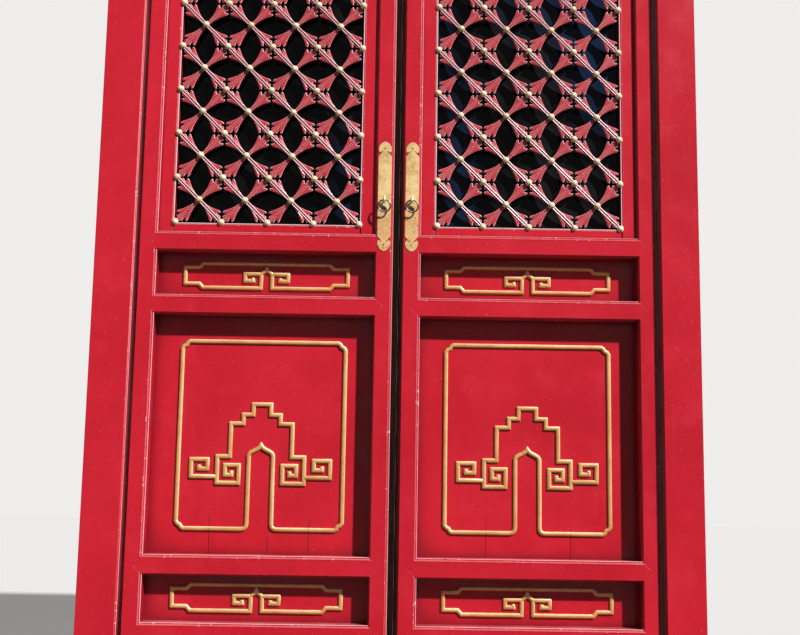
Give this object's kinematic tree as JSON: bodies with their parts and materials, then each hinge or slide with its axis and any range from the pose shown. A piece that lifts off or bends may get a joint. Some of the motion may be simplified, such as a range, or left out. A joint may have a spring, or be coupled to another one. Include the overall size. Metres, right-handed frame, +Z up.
{
  "type": "carved temple door",
  "caption": "Double-leaf panelled door in its frame, with a petal lattice over strapwork panels, plate-and-ring pulls and leaves that swing inward on pivot posts.",
  "frame": {"origin": "bottom centre of the door frame's bounding box, on the floor", "axes": "+X to the right seen from outside, +Y into the hall, +Z up"},
  "size_m": [1.686, 0.146, 2.512],
  "materials": {
    "red_paint": "glossy red paint on timber, chipped at the edges",
    "gilding": "gold paint on wood",
    "bare_wood": "unpainted dark brown timber",
    "dark_glass": "smooth dark pane",
    "plate_brass": "mottled brass",
    "ring_bronze": "dark, worn bright on its edges"
  },
  "bodies": {
    "frame": {"sill": "red_paint", "lintel": "red_paint", "bearing_rail": "red_paint", "left_jamb": "red_paint", "right_jamb": "red_paint", "left_pivot_block": "red_paint", "right_pivot_block": "red_paint"},
    "left_leaf": {"left_hinge_stile": "red_paint", "left_meeting_stile": "red_paint", "left_bottom_rail": "red_paint", "left_lower_waist_rail": "red_paint", "left_skirt_rail": "red_paint", "left_upper_waist_rail": "red_paint", "left_top_rail": "red_paint", "left_lower_waist_panel": "red_paint", "left_skirt_panel": "red_paint", "left_upper_waist_panel": "red_paint", "left_lattice_falling_bars": "red_paint", "left_lattice_rising_bars": "red_paint", "left_inner_frame": "red_paint", "left_glazing_beads": "red_paint", "left_pivot_post": "red_paint", "left_lower_waist_strap": "gilding", "left_upper_waist_strap": "gilding", "left_skirt_border": "gilding", "left_skirt_fret": "gilding", "left_lattice_bosses": "gilding", "left_cover_strip": "bare_wood", "left_glass_pane": "dark_glass", "left_handle_plate": "plate_brass", "left_plate_nails": "plate_brass", "left_ring_staple": "ring_bronze"},
    "left_ring": {"left_pull_ring": "ring_bronze"},
    "right_leaf": {"right_hinge_stile": "red_paint", "right_meeting_stile": "red_paint", "right_bottom_rail": "red_paint", "right_lower_waist_rail": "red_paint", "right_skirt_rail": "red_paint", "right_upper_waist_rail": "red_paint", "right_top_rail": "red_paint", "right_lower_waist_panel": "red_paint", "right_skirt_panel": "red_paint", "right_upper_waist_panel": "red_paint", "right_lattice_falling_bars": "red_paint", "right_lattice_rising_bars": "red_paint", "right_inner_frame": "red_paint", "right_glazing_beads": "red_paint", "right_pivot_post": "red_paint", "right_lower_waist_strap": "gilding", "right_upper_waist_strap": "gilding", "right_skirt_border": "gilding", "right_skirt_fret": "gilding", "right_lattice_bosses": "gilding", "right_cover_strip": "bare_wood", "right_glass_pane": "dark_glass", "right_handle_plate": "plate_brass", "right_plate_nails": "plate_brass", "right_ring_staple": "ring_bronze"},
    "right_ring": {"right_pull_ring": "ring_bronze"}
  },
  "joints": [
    {"name": "left_leaf_hinge", "type": "hinge", "parent": "frame", "child": "left_leaf", "pos_m": [-0.702, 0.038, 0.1], "axis": [0, 0, 1], "range_deg": [0, 100]},
    {"name": "left_ring_swing", "type": "hinge", "parent": "left_leaf", "child": "left_ring", "pos_m": [-0.039, -0.0665, 1.338], "axis": [-1, 0, 0], "range_deg": [-12, 165]},
    {"name": "right_leaf_hinge", "type": "hinge", "parent": "frame", "child": "right_leaf", "pos_m": [0.702, 0.038, 0.1], "axis": [0, 0, -1], "range_deg": [0, 100]},
    {"name": "right_ring_swing", "type": "hinge", "parent": "right_leaf", "child": "right_ring", "pos_m": [0.039, -0.0665, 1.338], "axis": [-1, 0, 0], "range_deg": [-12, 165]}
  ]
}
